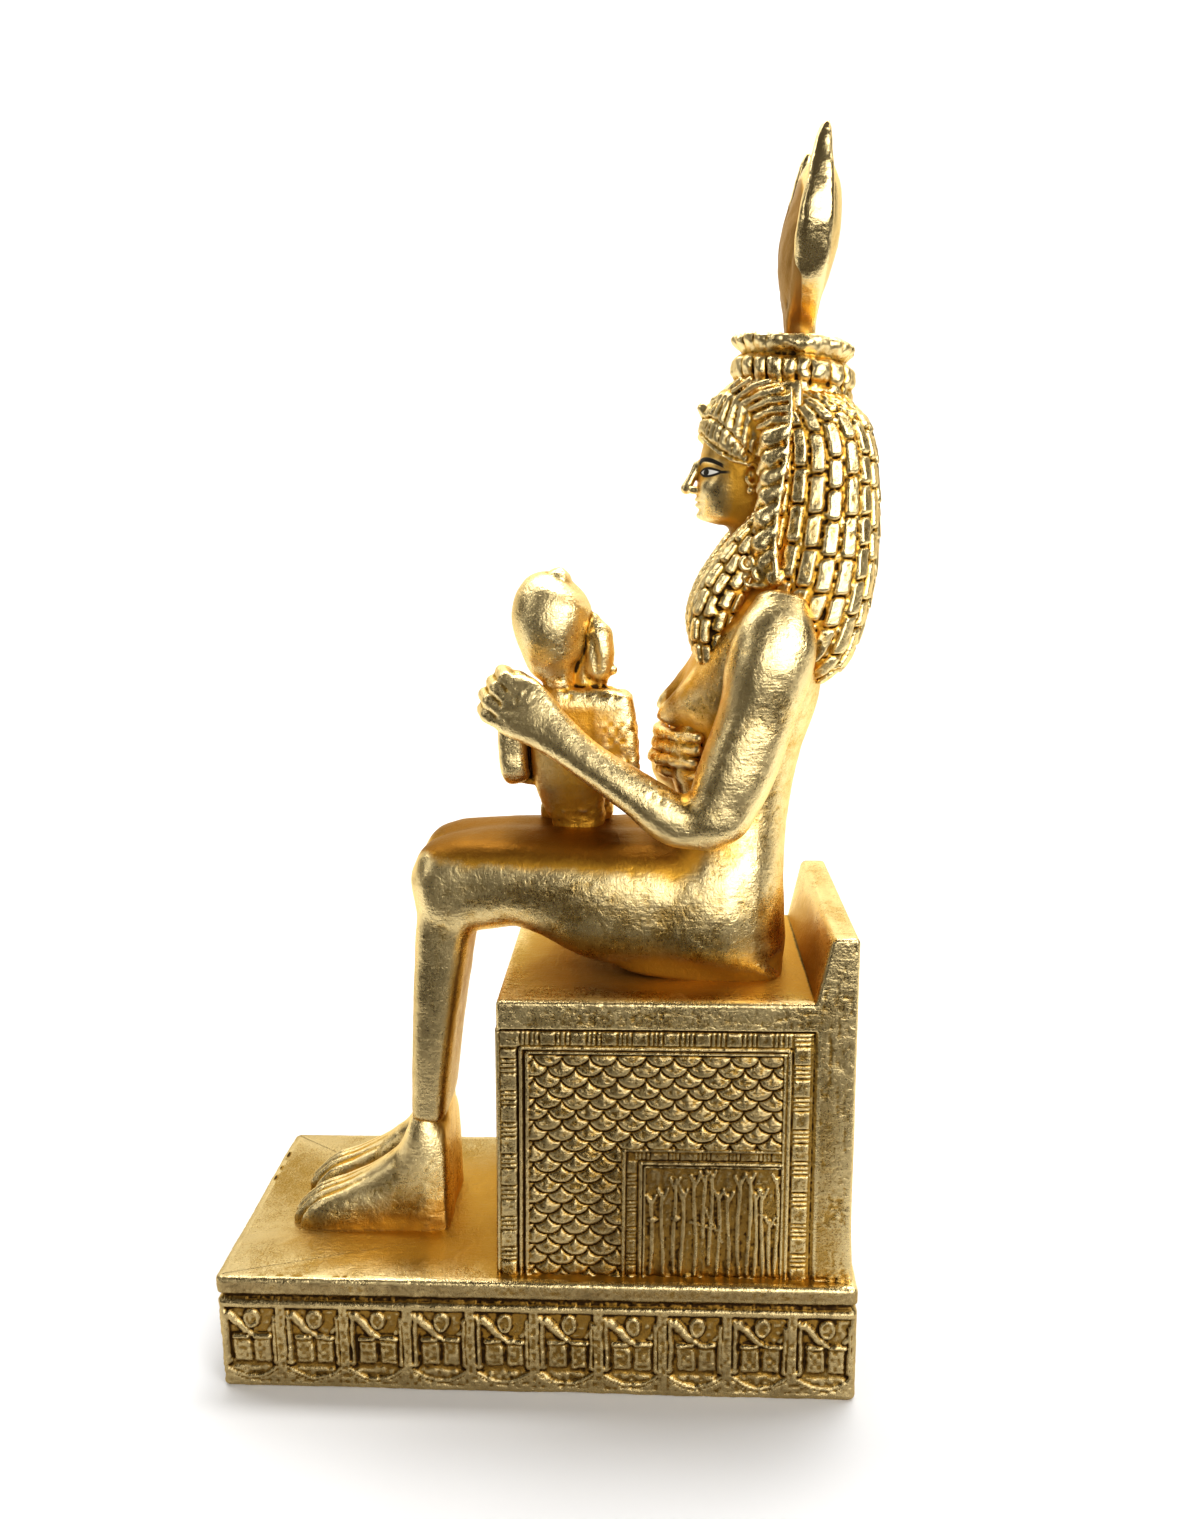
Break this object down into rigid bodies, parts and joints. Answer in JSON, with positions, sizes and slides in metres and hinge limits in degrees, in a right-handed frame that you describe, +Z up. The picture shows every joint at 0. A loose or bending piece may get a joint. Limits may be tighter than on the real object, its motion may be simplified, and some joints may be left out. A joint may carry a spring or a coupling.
{
  "type": "isis and horus figure",
  "caption": "Gilded cast figure of a seated goddess with a child across her lap, on a carved block throne and plinth, crowned by a horned sun disc.",
  "frame": {"origin": "centre of the plinth's underside", "axes": "+Z up from the plinth to the horns; -Y is the front, where the toes point; +X is the figure's left"},
  "size_m": [0.058, 0.1304, 0.2388],
  "materials": {
    "gilding": "satin gold leaf over a cast body, amber to near black in the hollows",
    "polished_gilding": "smoother and glossier gold leaf"
  },
  "bodies": {
    "root": {"statue": "gilding", "horned_sun_disc": "polished_gilding"}
  },
  "joints": []
}
